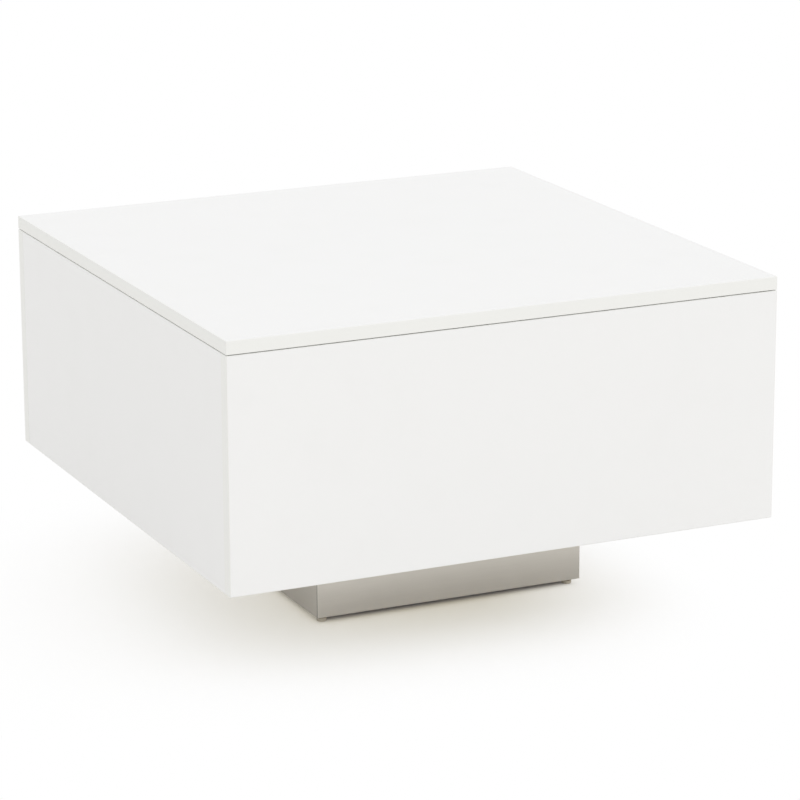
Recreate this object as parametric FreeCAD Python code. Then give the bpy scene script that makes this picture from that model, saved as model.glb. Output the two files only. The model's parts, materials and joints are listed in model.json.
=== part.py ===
import FreeCAD, Part
import math
import os

from FreeCAD import Vector

# Square storage coffee table: a box of white boards on a set-back plinth, closed by a lid
# on a continuous hinge with two slotted stays.
# Millimetres, +Z up, origin on the floor under the middle of the table, front towards -Y.

# Box and lid
table_width = 700.0
table_depth = 700.0
wall_height = 280.0
wall_thickness = 16.0
lid_thickness = 16.0
bottom_thickness = 16.0
arris_radius = 0.8
scoop_width = 100.0
scoop_depth = 20.0
scoop_from_front = 130.0
scoop_bevel = 2.0
joint_groove = 1.0

# Plinth and glides
plinth_width = 350.0
plinth_depth = 380.0
plinth_height = 100.0
plinth_thickness = 16.0
facing_thickness = 1.0
block_side = 30.0
block_floor_gap = 30.0
block_screw_rise = 12.0
block_screw_step = 14.0
glide_radius = 6.0
glide_height = 8.0
glide_neck_radius = 3.0
glide_neck_height = 3.5
glide_from_side = 11.0
glide_from_end = 13.0
glide_rounding = 1.0
glide_nail_radius = 1.0
glide_nail_head_radius = 2.6
glide_nail_head_height = 1.0
glide_nail_inset = 1.2
glide_nail_bite = 14.0

# Continuous hinge along the back edge
leaf_thickness = 0.7
leaf_play = 0.1
leaf_rebate = 0.5
leaf_inset = 1.0
leaf_end_gap = 40.0
knuckle_length = 20.0
knuckle_play = 0.4
knuckle_gap = 0.3
pin_radius = 1.1
pin_play = 0.05
hinge_screw_pitch = 60.0
hinge_screw_end = 20.0

# Lid stays
lid_open_angle = 95.0
stay_start_angle = 12.0
stay_thickness = 2.0
stay_width = 16.0
stay_pin_radius = 3.0
stay_pin_play = 0.05
stay_slot_play = 0.3
stay_wall_gap = 3.0
stay_face_play = 0.25
stay_floor_gap = 8.0
stay_lid_gap = 1.5
stud_thread_radius = 2.5
stud_collar_radius = 5.0
stud_head_radius = 6.0
stud_head_height = 2.0
rivet_head_radius = 5.0
rivet_head_height = 1.5
bracket_thickness = 2.0
bracket_length = 40.0
bracket_reach = 24.0
bracket_corner = 4.0
bracket_ear_margin = 3.5
bracket_screw_spacing = 24.0

# Cam fittings and dowels
cam_radius = 7.5
cam_skin = 3.2
cam_inset = 0.3
cam_distance = 34.0
cam_key_width = 1.6
cam_key_length = 10.0
cam_key_depth = 2.5
bolt_thread_radius = 2.5
bolt_shank_radius = 3.0
bolt_neck_radius = 1.7
bolt_neck_length = 4.5
bolt_head_length = 3.0
bolt_bore_play = 0.6
dowel_radius = 4.0
dowel_length = 30.0
dowel_skin = 4.0
dowel_end_room = 0.5
dowel_offset = 32.0
wall_fitting_margin = 70.0
bottom_fitting_margin = 134.0
cover_radius = 8.5
cover_height = 1.2
cover_stub_radius = 1.4
cover_stub_room = 0.8

# Screws: shank and head radius of each kind, and the wood left past the end of a blind hole
blind_skin = 5.0
hinge_screw_shank = 1.25
hinge_screw_head = 2.5
bracket_screw_shank = 1.75
bracket_screw_head = 3.5
block_screw_shank = 2.0
block_screw_head = 4.0
fixing_screw_shank = 2.5
fixing_screw_head = 5.0
fixing_screw_tip_gap = 10.0
screw_rim = 0.2
key_width_share = 0.34
key_length_share = 1.2
key_depth_share = 0.7

# Bumpers under the lid
bumper_radius = 4.0
bumper_from_corner = 60.0

# Clearances
fit_play = 0.05
cam_play = 0.1

# Levels and outlines worked out from the sizes above
lid_gap = 2 * leaf_thickness + leaf_play - leaf_rebate
plinth_base = glide_height
box_base = plinth_base + plinth_height
floor_top = box_base + bottom_thickness
wall_top = box_base + wall_height
lid_under = wall_top + lid_gap
lid_top = lid_under + lid_thickness
half_width = table_width / 2
half_depth = table_depth / 2
inner_half_width = half_width - wall_thickness
inner_half_depth = half_depth - wall_thickness

knuckle_bore = pin_radius + pin_play
knuckle_radius = knuckle_bore + leaf_thickness
hinge_y = half_depth + knuckle_radius + knuckle_gap
leaf_base = wall_top - leaf_rebate
hinge_z = leaf_base + leaf_thickness + leaf_play / 2
hinge_length = table_width - 2 * leaf_end_gap
knuckle_count = 2 * int(hinge_length / (2 * knuckle_length)) + 1
knuckle_step = hinge_length / knuckle_count

core_half_width = plinth_width / 2 - facing_thickness
core_half_depth = plinth_depth / 2 - facing_thickness
block_height = plinth_height - block_floor_gap
block_screw_top = block_screw_rise + block_screw_step

wall_thread_length = wall_thickness - blind_skin
dowel_in_face = wall_thickness - dowel_skin
bolt_bore_radius = bolt_shank_radius + bolt_bore_play
cover_stub_length = cam_inset + cam_key_depth - cover_stub_room
hinge_screw_length = leaf_thickness + lid_thickness - blind_skin
bracket_screw_length = bracket_thickness + lid_thickness - blind_skin
block_screw_length = block_side + plinth_thickness - blind_skin
fixing_screw_length = bottom_thickness + block_height - block_screw_top - fixing_screw_tip_gap

X_AXIS = Vector(1, 0, 0)
Y_AXIS = Vector(0, 1, 0)
Z_AXIS = Vector(0, 0, 1)
SIDES = (-1, 1)


# Shape helpers


def block(x_span, y_span, z_span):
    """A plain box between the two values of each span, given in any order."""
    spans = [sorted(span) for span in (x_span, y_span, z_span)]
    low = Vector(*[span[0] for span in spans])
    sizes = [span[1] - span[0] for span in spans]
    return Part.makeBox(*sizes, low)


def board(x_span, y_span, z_span, rounded):
    """A box with its arrises rounded where rounded(edge middle) is true."""
    plain = block(x_span, y_span, z_span)
    edges = [edge for edge in plain.Edges if rounded(edge.CenterOfMass)]
    return plain.makeFillet(arris_radius, edges)


def turned(profile):
    """A turned solid about +Z from (radius, height) points whose first and last lie on the axis."""
    points = [Vector(radius, 0, height) for radius, height in profile]
    face = Part.Face(Part.makePolygon(points + points[:1]))
    return face.revolve(Vector(), Z_AXIS, 360)


def placed(shape, at, x_axis, z_axis):
    """A copy of a shape with its own X and Z axes turned to these directions."""
    copy = shape.copy()
    rotation = FreeCAD.Rotation(x_axis, z_axis.cross(x_axis), z_axis, "XZY")
    copy.Placement = FreeCAD.Placement(at, rotation).multiply(copy.Placement)
    return copy


def joined(shapes):
    """One solid from shapes that overlap or touch."""
    return shapes[0].multiFuse(shapes[1:]).removeSplitter()


def screw_profile(shank, head, length, play):
    """Outline of a countersunk screw that runs along +Z, with its head's face at zero."""
    depth = screw_rim + head - shank
    return [
        (0, 0),
        (head + play, 0),
        (head + play, screw_rim),
        (shank + play, depth),
        (shank + play, length - shank),
        (0, length + play),
    ]


def screw(shank, head, length):
    """A countersunk screw with a cross key in its head."""
    body = turned(screw_profile(shank, head, length, 0))
    reach = key_length_share * head / 2
    half = key_width_share * head / 2
    depth = key_depth_share * (head - shank)
    bars = [
        block((-reach, reach), (-half, half), (0, depth)),
        block((-half, half), (-reach, reach), (0, depth)),
    ]
    return body.cut(bars)


def screw_hole(shank, head, length):
    """The room that a countersunk screw needs."""
    return turned(screw_profile(shank, head, length, fit_play))


# Cam fittings: local +X runs from the joint into the edge-bored board, +Z out of the cam's face


def cam_disc(half_board):
    """A cam with the pocket that takes the bolt's head, and a cross key in its face."""
    face = half_board - cam_inset
    height = face + half_board - cam_skin
    disc = Part.makeCylinder(cam_radius, height, Vector(cam_distance, 0, face - height))
    pocket = Part.makeCylinder(bolt_bore_radius, cam_distance + bolt_head_length, Vector(), X_AXIS)
    reach = cam_key_length / 2
    half = cam_key_width / 2
    keyed = (face - cam_key_depth, face)
    bars = [
        block((cam_distance - reach, cam_distance + reach), (-half, half), keyed),
        block((cam_distance - half, cam_distance + half), (-reach, reach), keyed),
    ]
    hole = Part.makeCylinder(
        cover_stub_radius + cam_play, cam_key_depth, Vector(cam_distance, 0, face - cam_key_depth)
    )
    return disc.cut([pocket, hole] + bars)


def cam_bolt():
    """The bolt: its thread sits in the other board's face, its head in the cam."""
    head_end = cam_distance + bolt_head_length / 2
    neck_end = head_end - bolt_head_length
    neck_start = neck_end - bolt_neck_length
    profile = [
        (0, -wall_thread_length),
        (bolt_thread_radius, -wall_thread_length),
        (bolt_thread_radius, 0),
        (bolt_shank_radius, 0),
        (bolt_shank_radius, neck_start),
        (bolt_neck_radius, neck_start),
        (bolt_neck_radius, neck_end),
        (bolt_shank_radius, neck_end),
        (bolt_shank_radius, head_end),
        (0, head_end),
    ]
    return placed(turned(profile), Vector(), -Z_AXIS, X_AXIS)


def cam_cover(half_board):
    """A round cap over a cam, with a stub in the cam's key hole."""
    stub_end = half_board - cover_stub_length
    profile = [
        (0, stub_end),
        (cover_stub_radius, stub_end),
        (cover_stub_radius, half_board),
        (cover_radius, half_board),
        (cover_radius, half_board + cover_height),
        (0, half_board + cover_height),
    ]
    cap = turned(profile)
    cap.translate(Vector(cam_distance, 0, 0))
    return cap


def thread_hole():
    """The blind hole for a bolt's thread in the face-bored board."""
    length = wall_thread_length + fit_play
    return Part.makeCylinder(bolt_thread_radius + fit_play, length, Vector(-length, 0, 0), X_AXIS)


def cam_holes(half_board):
    """The edge bore for a bolt and the round pocket for its cam."""
    bore = Part.makeCylinder(bolt_bore_radius, cam_distance, Vector(), X_AXIS)
    depth = 2 * half_board - cam_skin + cam_play
    foot = Vector(cam_distance, 0, half_board - depth)
    return bore.fuse(Part.makeCylinder(cam_radius + cam_play, depth, foot))


def dowel(play, end_room):
    """A dowel across a joint, or the hole that takes it."""
    start = Vector(-dowel_in_face - end_room, 0, 0)
    return Part.makeCylinder(dowel_radius + play, dowel_length + 2 * end_room, start, X_AXIS)


class Fittings:
    """The places of the cams and dowels of a set of joints, each as (at, into, out)."""

    def __init__(self, board_thickness):
        self.half_board = board_thickness / 2
        self.cam_places = []
        self.dowel_places = []

    def add_cam(self, place, face_holes, edge_holes):
        """Keep one cam's place, and add its holes to the two boards' lists."""
        self.cam_places.append(place)
        face_holes.append(placed(thread_hole(), *place))
        edge_holes.append(placed(cam_holes(self.half_board), *place))

    def add_dowel(self, place, face_holes, edge_holes):
        """Keep one dowel's place, and add its hole to the two boards' lists."""
        self.dowel_places.append(place)
        hole = placed(dowel(fit_play, dowel_end_room), *place)
        face_holes.append(hole)
        edge_holes.append(hole)


def copies(shape, places):
    """A group of copies of one shape."""
    return Part.makeCompound([placed(shape, *place) for place in places])


# Hole lists of the boards, filled by what is fastened to each
BOARDS = (
    "lid", "front", "back", "left", "right", "bottom",
    "plinth_front", "plinth_back", "plinth_left", "plinth_right", "corner_blocks",
)
holes = {name: [] for name in BOARDS}
END_BOARD = {-1: "front", 1: "back"}
SIDE_BOARD = {-1: "left", 1: "right"}


def wall_fittings():
    """Joints of the side boards' ends with the front and back boards."""
    fittings = Fittings(wall_thickness)
    low = box_base + wall_fitting_margin
    high = wall_top - wall_fitting_margin
    for side in SIDES:
        for end in SIDES:
            x = side * (half_width - wall_thickness / 2)
            y = end * inner_half_depth
            axes = (Y_AXIS * -end, X_AXIS * -side)
            lists = (holes[END_BOARD[end]], holes[SIDE_BOARD[side]])
            for z in (low, high):
                fittings.add_cam((Vector(x, y, z), *axes), *lists)
            for z in (low - dowel_offset, high + dowel_offset):
                fittings.add_dowel((Vector(x, y, z), *axes), *lists)
    return fittings


def bottom_fittings():
    """Joints of the bottom board's four edges with the walls, cams from below."""
    fittings = Fittings(bottom_thickness)
    z = box_base + bottom_thickness / 2
    for side in SIDES:
        end_axes = (Y_AXIS * -side, -Z_AXIS)
        flank_axes = (X_AXIS * -side, -Z_AXIS)
        end_lists = (holes[END_BOARD[side]], holes["bottom"])
        flank_lists = (holes[SIDE_BOARD[side]], holes["bottom"])
        x = side * inner_half_width
        y = side * inner_half_depth
        for hand in SIDES:
            along_x = hand * (inner_half_width - bottom_fitting_margin)
            along_y = hand * (inner_half_depth - bottom_fitting_margin)
            step = hand * dowel_offset
            fittings.add_cam((Vector(along_x, y, z), *end_axes), *end_lists)
            fittings.add_dowel((Vector(along_x + step, y, z), *end_axes), *end_lists)
            fittings.add_cam((Vector(x, along_y, z), *flank_axes), *flank_lists)
            fittings.add_dowel((Vector(x, along_y + step, z), *flank_axes), *flank_lists)
    return fittings


# Continuous hinge


def hinge_leaf(flat_span, first_knuckle):
    """One leaf: a strip with a rolled knuckle at every second step."""
    strip_start = half_depth - wall_thickness + leaf_inset
    strip_end = hinge_y - knuckle_radius - knuckle_gap
    tongue_end = hinge_y - (knuckle_bore + knuckle_radius) / 2
    start = -hinge_length / 2
    shapes = [block((start, -start), (strip_start, strip_end), flat_span)]
    for index in range(first_knuckle, knuckle_count, 2):
        x = start + index * knuckle_step + knuckle_play / 2
        length = knuckle_step - knuckle_play
        centre = Vector(x, hinge_y, hinge_z)
        tube = Part.makeCylinder(knuckle_radius, length, centre, X_AXIS)
        tube = tube.cut(Part.makeCylinder(knuckle_bore, length, centre, X_AXIS))
        shapes.append(tube)
        shapes.append(block((x, x + length), (strip_end, tongue_end), flat_span))
    return joined(shapes)


def hinge_screw_places():
    """X of each hinge screw, evenly spread about the middle."""
    span = hinge_length - 2 * hinge_screw_end
    gaps = int(span / hinge_screw_pitch)
    return [(index - gaps / 2) * span / gaps for index in range(gaps + 1)]


def hinge():
    """Both leaves with their screws, and the pin. The box's leaf lies in a rebate of the back board."""
    size = (hinge_screw_shank, hinge_screw_head, hinge_screw_length)
    y = half_depth - (wall_thickness - leaf_inset) / 2
    box_face = leaf_base + leaf_thickness
    lid_face = lid_under - leaf_thickness
    rebate_end = hinge_length / 2 + fit_play
    rebate = block((-rebate_end, rebate_end), (inner_half_depth, half_depth), (leaf_base, wall_top))
    holes["back"].append(rebate)
    box_screws = []
    lid_screws = []
    for x in hinge_screw_places():
        down = (Vector(x, y, box_face), X_AXIS, -Z_AXIS)
        up = (Vector(x, y, lid_face), X_AXIS, Z_AXIS)
        box_screws.append(placed(screw(*size), *down))
        lid_screws.append(placed(screw(*size), *up))
        holes["back"].append(placed(screw_hole(*size), *down))
        holes["lid"].append(placed(screw_hole(*size), *up))
    box_holes = holes["back"][-len(box_screws):]
    lid_holes = holes["lid"][-len(lid_screws):]
    pin_start = Vector(-hinge_length / 2, hinge_y, hinge_z)
    return {
        "hinge_box_leaf": hinge_leaf((leaf_base, box_face), 0).cut(box_holes),
        "hinge_lid_leaf": hinge_leaf((lid_face, lid_under), 1).cut(lid_holes),
        "hinge_pin": Part.makeCylinder(pin_radius, hinge_length, pin_start, X_AXIS),
        "hinge_box_screws": Part.makeCompound(box_screws),
        "hinge_lid_screws": Part.makeCompound(lid_screws),
    }


# Lid stays: pivot and stud lie at one distance from the hinge pin, so the arm turns half as far as the lid

bracket_ear_radius = rivet_head_radius + bracket_ear_margin
stay_pivot_drop = bracket_thickness + max(bracket_ear_radius, stay_width / 2) + stay_lid_gap
stay_pivot_z = lid_under - stay_pivot_drop
stay_end_margin = stay_pin_radius + stay_slot_play + stay_width / 2
stay_travel_factor = 2 * math.sin(math.radians((stay_start_angle + lid_open_angle) / 2))
stay_room = stay_pivot_z - floor_top - stay_floor_gap - stay_end_margin
stay_radius = stay_room / stay_travel_factor
stay_pivot_angle = math.degrees(math.asin((hinge_z - stay_pivot_z) / stay_radius))
stay_stud_angle = stay_pivot_angle + stay_start_angle
stay_pivot_y = hinge_y - stay_radius * math.cos(math.radians(stay_pivot_angle))
stay_stud_y = hinge_y - stay_radius * math.cos(math.radians(stay_stud_angle))
stay_stud_z = hinge_z - stay_radius * math.sin(math.radians(stay_stud_angle))
stay_shut_reach = 2 * stay_radius * math.sin(math.radians(stay_start_angle / 2))
stay_open_reach = stay_radius * stay_travel_factor
stay_lean = (stay_pivot_angle + stay_stud_angle) / 2

# Distances inwards from the side board's inner face
arm_face = stay_wall_gap
arm_back = arm_face + stay_thickness
bracket_face = arm_back + stay_face_play
bracket_back = bracket_face + bracket_thickness
collar_end = arm_face - stay_face_play


def flat_slot(start, end, half, thickness):
    """A flat bar with round ends, along local -Z from start to end, with its faces across local X."""
    bar = block((0, thickness), (-half, half), (-start, -end))
    ends = [Part.makeCylinder(half, thickness, Vector(0, 0, -at), X_AXIS) for at in (start, end)]
    return joined([bar] + ends)


def stay_arm(side):
    """A slotted arm hanging from the lid bracket and leaning towards the hinge."""
    slot_half = stay_pin_radius + stay_slot_play
    arm = flat_slot(0, stay_open_reach + slot_half, stay_width / 2, stay_thickness)
    slot = flat_slot(stay_shut_reach, stay_open_reach, slot_half, stay_thickness)
    pivot_hole = Part.makeCylinder(stay_pin_radius + stay_pin_play, stay_thickness, Vector(), X_AXIS)
    arm = arm.cut([slot, pivot_hole])
    arm.rotate(Vector(), X_AXIS, stay_lean)
    near = inner_half_width - (arm_back if side > 0 else arm_face)
    arm.translate(Vector(side * near, stay_pivot_y, stay_pivot_z))
    return arm


def stay_stud(side):
    """A turned stud screwed into the side board, with a collar, a shoulder and a head."""
    head_start = bracket_face
    profile = [
        (0, -wall_thread_length),
        (stud_thread_radius, -wall_thread_length),
        (stud_thread_radius, 0),
        (stud_collar_radius, 0),
        (stud_collar_radius, collar_end),
        (stay_pin_radius, collar_end),
        (stay_pin_radius, head_start),
        (stud_head_radius, head_start),
        (stud_head_radius, head_start + stud_head_height),
        (0, head_start + stud_head_height),
    ]
    at = Vector(side * inner_half_width, stay_stud_y, stay_stud_z)
    depth = wall_thread_length + fit_play
    hole = Part.makeCylinder(stud_thread_radius + fit_play, depth, at, X_AXIS * side)
    holes[SIDE_BOARD[side]].append(hole)
    return placed(turned(profile), at, Y_AXIS, X_AXIS * -side)


def stay_rivet(side):
    """The pivot rivet through the lid bracket and the arm."""
    wall_head = collar_end - rivet_head_height
    profile = [
        (0, wall_head),
        (rivet_head_radius, wall_head),
        (rivet_head_radius, collar_end),
        (stay_pin_radius, collar_end),
        (stay_pin_radius, bracket_back),
        (rivet_head_radius, bracket_back),
        (rivet_head_radius, bracket_back + rivet_head_height),
        (0, bracket_back + rivet_head_height),
    ]
    at = Vector(side * inner_half_width, stay_pivot_y, stay_pivot_z)
    return placed(turned(profile), at, Y_AXIS, X_AXIS * -side)


def stay_bracket(side):
    """An angle under the lid: a flange for two screws and an ear for the rivet."""
    face_x = side * (inner_half_width - bracket_face)
    back_x = side * (inner_half_width - bracket_back)
    end_x = side * (inner_half_width - bracket_face - bracket_reach)
    y_span = (stay_pivot_y - bracket_length / 2, stay_pivot_y + bracket_length / 2)
    flange_z = lid_under - bracket_thickness
    pivot = Vector(face_x, stay_pivot_y, stay_pivot_z)
    inwards = X_AXIS * -side
    ear_span = (stay_pivot_y - bracket_ear_radius, stay_pivot_y + bracket_ear_radius)
    flange = block((face_x, end_x), y_span, (flange_z, lid_under))
    free_edges = [edge for edge in flange.Edges if math.isclose(edge.CenterOfMass.x, end_x)]
    corners = [edge for edge in free_edges if abs(edge.CenterOfMass.y - stay_pivot_y) > bracket_corner]
    shapes = [
        flange.makeFillet(bracket_corner, corners),
        block((face_x, back_x), ear_span, (stay_pivot_z, flange_z)),
        Part.makeCylinder(bracket_ear_radius, bracket_thickness, pivot, inwards),
    ]
    hole = Part.makeCylinder(stay_pin_radius + fit_play, bracket_thickness, pivot, inwards)
    return joined(shapes).cut(hole)


def stay_bracket_screws(side):
    """The two screws of one bracket and their holes."""
    size = (bracket_screw_shank, bracket_screw_head, bracket_screw_length)
    x = side * (inner_half_width - bracket_back - (bracket_reach - bracket_thickness) / 2)
    face = lid_under - bracket_thickness
    screws = []
    rooms = []
    for hand in SIDES:
        at = Vector(x, stay_pivot_y + hand * bracket_screw_spacing / 2, face)
        screws.append(placed(screw(*size), at, X_AXIS, Z_AXIS))
        rooms.append(placed(screw_hole(*size), at, X_AXIS, Z_AXIS))
    holes["lid"].extend(rooms)
    return screws, rooms


def stays():
    """Both stays with their brackets, rivets, studs and screws."""
    pieces = {}
    all_screws = []
    for side in SIDES:
        hand = SIDE_BOARD[side]
        screws, rooms = stay_bracket_screws(side)
        all_screws.extend(screws)
        pieces["stay_arm_" + hand] = stay_arm(side)
        pieces["stay_bracket_" + hand] = stay_bracket(side).cut(rooms)
    pieces["stay_rivets"] = Part.makeCompound([stay_rivet(side) for side in SIDES])
    pieces["stay_studs"] = Part.makeCompound([stay_stud(side) for side in SIDES])
    pieces["stay_bracket_screws"] = Part.makeCompound(all_screws)
    return pieces


# Plinth


def plinth_screws():
    """Screws from the corner blocks into the plinth boards, and from the box down into the blocks."""
    size = (block_screw_shank, block_screw_head, block_screw_length)
    fixing = (fixing_screw_shank, fixing_screw_head, fixing_screw_length)
    low = box_base - block_height + block_screw_rise
    corner_x = core_half_width - plinth_thickness
    corner_y = core_half_depth - plinth_thickness
    block_screws = []
    fixing_screws = []
    covers = []
    for side in SIDES:
        for end in SIDES:
            x = side * (corner_x - block_side / 2)
            y = end * (corner_y - block_side / 2)
            sideways = (Vector(side * (corner_x - block_side), y, low), Z_AXIS, X_AXIS * side)
            endways_at = Vector(x, end * (corner_y - block_side), low + block_screw_step)
            endways = (endways_at, Z_AXIS, Y_AXIS * end)
            downwards = (Vector(x, y, floor_top), X_AXIS, -Z_AXIS)
            block_screws.append(placed(screw(*size), *sideways))
            block_screws.append(placed(screw(*size), *endways))
            fixing_screws.append(placed(screw(*fixing), *downwards))
            covers.append(placed(fixing_cover(), Vector(x, y, floor_top), X_AXIS, Z_AXIS))
            side_hole = placed(screw_hole(*size), *sideways)
            end_hole = placed(screw_hole(*size), *endways)
            fixing_hole = placed(screw_hole(*fixing), *downwards)
            holes["corner_blocks"].extend([side_hole, end_hole, fixing_hole])
            holes["plinth_" + SIDE_BOARD[side]].append(side_hole)
            holes["plinth_" + END_BOARD[end]].append(end_hole)
            holes["bottom"].append(fixing_hole)
    return {
        "plinth_block_screws": Part.makeCompound(block_screws),
        "plinth_fixing_screws": Part.makeCompound(fixing_screws),
        "plinth_fixing_covers": Part.makeCompound(covers),
    }


def fixing_cover():
    """A flat cap that covers a fixing screw on the box's floor."""
    radius = fixing_screw_head + cover_height
    cap = Part.makeCylinder(radius, cover_height)
    return cap.makeChamfer(cover_height / 2, [cap.Edges[0]])


def corner_blocks():
    """Square blocks in the plinth's four inner corners."""
    corner_x = core_half_width - plinth_thickness
    corner_y = core_half_depth - plinth_thickness
    z_span = (box_base - block_height, box_base)
    shapes = []
    for side in SIDES:
        for end in SIDES:
            x_span = (side * (corner_x - block_side), side * corner_x)
            y_span = (end * (corner_y - block_side), end * corner_y)
            shapes.append(block(x_span, y_span, z_span).cut(holes["corner_blocks"]))
    return Part.makeCompound(shapes)


def glides():
    """Round necked glides under the side boards of the plinth, with the nails that hold them."""
    glide_shapes = []
    nails = []
    seat = glide_nail_inset + glide_nail_head_height
    disc_height = glide_height - glide_neck_height
    for side in SIDES:
        for end in SIDES:
            x = side * (plinth_width / 2 - glide_from_side)
            y = end * (plinth_depth / 2 - glide_from_end)
            foot = Vector(x, y, 0)
            disc = Part.makeCylinder(glide_radius, disc_height, foot)
            low_edges = [edge for edge in disc.Edges if edge.BoundBox.ZMax < disc_height / 2]
            disc = disc.makeFillet(glide_rounding, low_edges)
            neck_foot = foot + Z_AXIS * disc_height
            neck = Part.makeCylinder(glide_neck_radius, glide_neck_height, neck_foot)
            body = joined([disc, neck])
            pocket = Part.makeCylinder(glide_nail_head_radius + cam_play, seat, foot)
            shank_hole = Part.makeCylinder(
                glide_nail_radius + fit_play, glide_height + glide_nail_bite + fit_play, foot
            )
            glide_shapes.append(body.cut([pocket, shank_hole]))
            holes["plinth_" + SIDE_BOARD[side]].append(shank_hole)
            head = Part.makeCylinder(
                glide_nail_head_radius, glide_nail_head_height, Vector(x, y, glide_nail_inset)
            )
            shank_length = glide_height + glide_nail_bite - glide_nail_inset
            shank = Part.makeCylinder(glide_nail_radius, shank_length, Vector(x, y, glide_nail_inset))
            nails.append(joined([head, shank]))
    return {
        "floor_glides": Part.makeCompound(glide_shapes),
        "glide_nails": Part.makeCompound(nails),
    }


def plinth_boards():
    """Side boards run the full depth, with the front and back boards between them."""
    z_span = (plinth_base, box_base)
    inner_x = core_half_width - plinth_thickness
    inner_y = core_half_depth - plinth_thickness
    depth_span = (-core_half_depth, core_half_depth)
    pieces = {}
    for side in SIDES:
        flank = "plinth_" + SIDE_BOARD[side]
        end = "plinth_" + END_BOARD[side]
        flank_shape = block((side * inner_x, side * core_half_width), depth_span, z_span)
        end_shape = block((-inner_x, inner_x), (side * inner_y, side * core_half_depth), z_span)
        pieces[flank + "_board"] = flank_shape.cut(holes[flank])
        pieces[end + "_board"] = end_shape.cut(holes[end])
    return pieces


def plinth_facings():
    """Thin metal-faced sheets, the front and back ones lapping over the side ones' ends."""
    z_span = (plinth_base, box_base)
    depth_span = (-core_half_depth, core_half_depth)
    width_span = (-plinth_width / 2, plinth_width / 2)
    pieces = {}
    for side in SIDES:
        flank = block((side * core_half_width, side * plinth_width / 2), depth_span, z_span)
        end = block(width_span, (side * core_half_depth, side * plinth_depth / 2), z_span)
        pieces["plinth_" + SIDE_BOARD[side] + "_facing"] = flank
        pieces["plinth_" + END_BOARD[side] + "_facing"] = end
    return pieces


# Box boards and lid


def finger_scoop():
    """The round dip in the right board's top edge, with a bevel at each face."""
    radius = (scoop_width ** 2 / 4 + scoop_depth ** 2) / (2 * scoop_depth)
    y = scoop_from_front - half_depth
    z = wall_top - scoop_depth + radius
    inner = Vector(inner_half_width, y, z)
    outer = Vector(half_width, y, z)
    wide = radius + scoop_bevel
    return [
        Part.makeCylinder(radius, wall_thickness, inner, X_AXIS),
        Part.makeCone(wide, radius, scoop_bevel, inner, X_AXIS),
        Part.makeCone(wide, radius, scoop_bevel, outer, -X_AXIS),
    ]


def rounded_front(middle):
    """True for each arris of the front board but the two that butt tightly on the side boards."""
    at_end = abs(middle.x) > inner_half_width
    return not (at_end and math.isclose(middle.y, -inner_half_depth))


def box_boards():
    """Front and back boards across the full width, side boards between them, and the bottom.

    A groove down each side board's outer back edge sets its joint with the back board off.
    """
    z_span = (box_base, wall_top)
    depth_span = (-inner_half_depth, inner_half_depth)
    holes["right"].extend(finger_scoop())
    groove_span = (inner_half_depth - joint_groove, inner_half_depth)
    end_rounding = {"front": rounded_front, "back": lambda middle: True}
    pieces = {}
    for side in SIDES:
        end = END_BOARD[side]
        flank = SIDE_BOARD[side]
        y_span = (side * inner_half_depth, side * half_depth)
        x_span = (side * inner_half_width, side * half_width)
        groove_x = (side * (half_width - joint_groove), side * half_width)
        holes[flank].append(block(groove_x, groove_span, z_span))
        end_shape = board((-half_width, half_width), y_span, z_span, end_rounding[end])
        flank_shape = board(x_span, depth_span, z_span, lambda middle: abs(middle.y) < half_depth / 2)
        pieces[end + "_board"] = end_shape.cut(holes[end])
        pieces[flank + "_board"] = flank_shape.cut(holes[flank])
    inner_width = (-inner_half_width, inner_half_width)
    floor = block(inner_width, depth_span, (box_base, floor_top))
    pieces["bottom_board"] = floor.cut(holes["bottom"])
    return pieces


def lid():
    """The lid board, flush with the box on all sides."""
    x_span = (-half_width, half_width)
    y_span = (-half_depth, half_depth)
    top = board(x_span, y_span, (lid_under, lid_top), lambda middle: True)
    return {"lid_board": top.cut(holes["lid"])}


def bumpers():
    """Small pads on the walls' top edges that carry the lid and keep its gap."""
    shapes = []
    for side in SIDES:
        front_x = side * (half_width - bumper_from_corner)
        front_y = wall_thickness / 2 - half_depth
        flank_x = side * (half_width - wall_thickness / 2)
        for x, y in ((front_x, front_y), (flank_x, 0)):
            shapes.append(Part.makeCylinder(bumper_radius, lid_gap, Vector(x, y, wall_top)))
    return {"lid_bumpers": Part.makeCompound(shapes)}


def table():
    """Every piece by name. Fittings come first, because they fill the boards' hole lists."""
    walls = wall_fittings()
    bottom = bottom_fittings()
    plain_dowel = dowel(0, 0)
    pieces = {
        "wall_cams": copies(cam_disc(walls.half_board), walls.cam_places),
        "wall_cam_bolts": copies(cam_bolt(), walls.cam_places),
        "wall_cam_covers": copies(cam_cover(walls.half_board), walls.cam_places),
        "wall_dowels": copies(plain_dowel, walls.dowel_places),
        "bottom_cams": copies(cam_disc(bottom.half_board), bottom.cam_places),
        "bottom_cam_bolts": copies(cam_bolt(), bottom.cam_places),
        "bottom_dowels": copies(plain_dowel, bottom.dowel_places),
    }
    pieces.update(hinge())
    pieces.update(stays())
    pieces.update(plinth_screws())
    pieces.update(glides())
    pieces.update(bumpers())
    pieces.update(box_boards())
    pieces.update(lid())
    pieces.update(plinth_boards())
    pieces.update(plinth_facings())
    pieces["plinth_corner_blocks"] = corner_blocks()
    return pieces


def main():
    os.makedirs("parts", exist_ok=True)
    for name, shape in table().items():
        shape.exportStep(os.path.join("parts", name + ".step"))


main()
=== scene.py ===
"""Looks of a square storage coffee table: board finishes, turned fittings and a pale stage, in metres."""

import functools
import inspect
import json
import math

import bmesh
import bpy
from bpy.props import FloatProperty, FloatVectorProperty, IntProperty, PointerProperty
from mathutils import Euler, Matrix, Vector

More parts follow.
